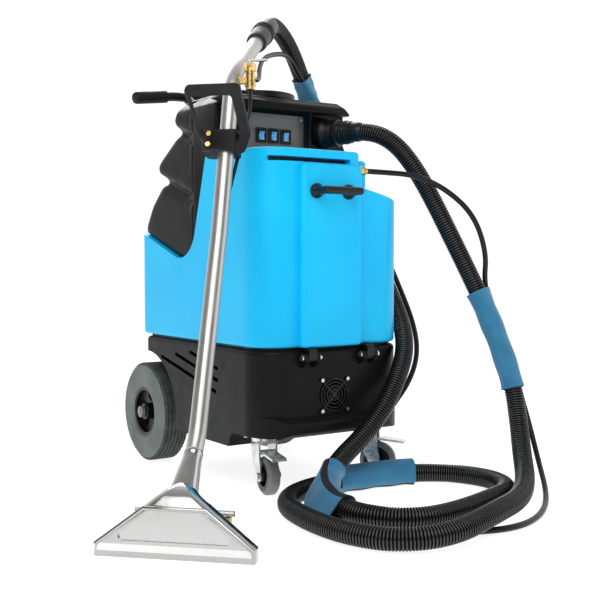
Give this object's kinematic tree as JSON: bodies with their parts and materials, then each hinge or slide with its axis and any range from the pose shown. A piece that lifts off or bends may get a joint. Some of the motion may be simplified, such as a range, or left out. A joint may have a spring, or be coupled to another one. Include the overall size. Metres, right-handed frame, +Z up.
{
  "type": "carpet cleaner machine",
  "caption": "Wheeled upright carpet extractor: blue solution tank on a black base, black recovery tank on top, leaning floor wand, coiled vacuum hose and thin solution line.",
  "frame": {"origin": "on the floor, in the middle of the footprint of the machine and its wand, hoses left out", "axes": "+Z up, -Y toward the machine's front face, +X to the right of someone facing the front"},
  "size_m": [1.1011, 1.2388, 1.1562],
  "materials": {
    "black_housing": "moulded, lightly textured, satin",
    "blue_tank": "moulded, fine orange-peel texture, semi-gloss",
    "zinc": "bright zinc plate",
    "panel_metal": "satin grey",
    "black_trim": "satin",
    "black_metal": "powder coat",
    "black_rubber": "soft matte",
    "brass": "turned and polished",
    "motor": "plain cast housing",
    "heater": "cast",
    "white_plastic": "smooth",
    "tyre": "matte grey rubber",
    "wheel_plastic": "satin",
    "caster_tread": "matte",
    "stainless": "polished stainless",
    "blue_fabric": "woven nylon",
    "hose": "glossy black"
  },
  "bodies": {
    "chassis": {"base_housing": "black_housing", "solution_tank": "blue_tank", "recovery_tank": "black_housing", "hinge_lugs": "black_trim", "hinge_pins": "zinc", "switch_panel": "panel_metal", "face_screws": "zinc", "switch_bezels": "black_trim", "suction_port": "black_trim", "push_handle": "black_metal", "handle_grips": "black_rubber", "pull_handle": "black_trim", "solution_outlet": "brass", "fan_guard": "black_trim", "fan_frame": "black_trim", "rear_axle": "zinc", "caster_plates": "zinc", "caster_bolts": "zinc", "vacuum_motors": "motor", "solution_pump": "motor", "heater_core": "heater", "stand_pipe": "white_plastic", "dump_valve": "black_trim", "wand_head": "stainless", "wand_tube": "stainless", "wand_cuff": "black_trim", "loop_handle": "black_rubber", "clamp_bolts": "brass", "wand_valve": "brass", "spray_line": "stainless", "spray_bar": "stainless", "spray_jets": "brass", "hose_sleeves": "blue_fabric", "vacuum_hose_front": "hose", "vacuum_hose_coil": "hose", "vacuum_hose_rear": "hose", "solution_hose_front": "hose", "solution_hose_rear": "hose"},
    "rear_wheel_left": {"tyre_left": "tyre", "wheel_rim_left": "wheel_plastic"},
    "rear_wheel_right": {"tyre_right": "tyre", "wheel_rim_right": "wheel_plastic"},
    "recovery_lid": {"recovery_lid": "black_trim"},
    "float": {"float_ring": "white_plastic"},
    "dump_gate": {"dump_gate": "black_trim"},
    "fan": {"fan_rotor": "black_trim"},
    "valve_lever": {"valve_lever": "stainless"},
    "rocker_1": {"rocker_1": "black_trim"},
    "rocker_2": {"rocker_2": "black_trim"},
    "rocker_3": {"rocker_3": "black_trim"},
    "caster_left": {"caster_fork_left": "zinc", "caster_axle_left": "zinc"},
    "caster_wheel_left": {"caster_tyre_left": "caster_tread", "caster_core_left": "wheel_plastic"},
    "brake_pedal_left": {"brake_pedal_left": "zinc"},
    "caster_right": {"caster_fork_right": "zinc", "caster_axle_right": "zinc"},
    "caster_wheel_right": {"caster_tyre_right": "caster_tread", "caster_core_right": "wheel_plastic"},
    "brake_pedal_right": {"brake_pedal_right": "zinc"}
  },
  "joints": [
    {"name": "rear_wheel_left_spin", "type": "hinge", "parent": "chassis", "child": "rear_wheel_left", "pos_m": [0.03537, 0.41347, 0.131], "axis": [1, 0, 0], "continuous": true},
    {"name": "rear_wheel_right_spin", "type": "hinge", "parent": "chassis", "child": "rear_wheel_right", "pos_m": [0.40137, 0.41347, 0.131], "axis": [1, 0, 0], "continuous": true},
    {"name": "caster_left_swivel", "type": "hinge", "parent": "chassis", "child": "caster_left", "pos_m": [0.06837, -0.08253, 0.137], "axis": [0, 0, 1], "continuous": true},
    {"name": "caster_left_roll", "type": "hinge", "parent": "caster_left", "child": "caster_wheel_left", "pos_m": [0.06316, -0.11207, 0.04445], "axis": [0.9848, -0.1736, 0], "continuous": true},
    {"name": "brake_left_press", "type": "hinge", "parent": "caster_left", "child": "brake_pedal_left", "pos_m": [0.06594, -0.09631, 0.097], "axis": [0.9848, -0.1736, 0], "range_deg": [0, 12]},
    {"name": "caster_right_swivel", "type": "hinge", "parent": "chassis", "child": "caster_right", "pos_m": [0.36837, -0.08253, 0.137], "axis": [0, 0, 1], "continuous": true},
    {"name": "caster_right_roll", "type": "hinge", "parent": "caster_right", "child": "caster_wheel_right", "pos_m": [0.38766, -0.10551, 0.04445], "axis": [0.766, 0.6428, 0], "continuous": true},
    {"name": "brake_right_press", "type": "hinge", "parent": "caster_right", "child": "brake_pedal_right", "pos_m": [0.37737, -0.09325, 0.097], "axis": [0.766, 0.6428, 0], "range_deg": [0, 12]},
    {"name": "rocker_1_tilt", "type": "hinge", "parent": "chassis", "child": "rocker_1", "pos_m": [0.16337, 0.08147, 0.846], "axis": [1, 0, 0], "range_deg": [-14, 0]},
    {"name": "rocker_2_tilt", "type": "hinge", "parent": "chassis", "child": "rocker_2", "pos_m": [0.19937, 0.08147, 0.846], "axis": [1, 0, 0], "range_deg": [-14, 0]},
    {"name": "rocker_3_tilt", "type": "hinge", "parent": "chassis", "child": "rocker_3", "pos_m": [0.23537, 0.08147, 0.846], "axis": [1, 0, 0], "range_deg": [-14, 0]},
    {"name": "fan_spin", "type": "hinge", "parent": "chassis", "child": "fan", "pos_m": [0.20837, -0.14903, 0.226], "axis": [0, 1, 0], "continuous": true},
    {"name": "lid_lift", "type": "slide", "parent": "chassis", "child": "recovery_lid", "axis": [0, 0, 1], "range_m": [0, 0.07]},
    {"name": "float_rise", "type": "slide", "parent": "chassis", "child": "float", "axis": [0, 0, 1], "range_m": [0, 0.18]},
    {"name": "dump_gate_slide", "type": "slide", "parent": "chassis", "child": "dump_gate", "axis": [0, 0, 1], "range_m": [0, 0.045]},
    {"name": "valve_lever_press", "type": "hinge", "parent": "chassis", "child": "valve_lever", "pos_m": [-0.01127, -0.15911, 0.96], "axis": [0.7071, -0.7071, 0], "range_deg": [0, 15], "stiffness_Nm_per_rad": 0.3}
  ]
}
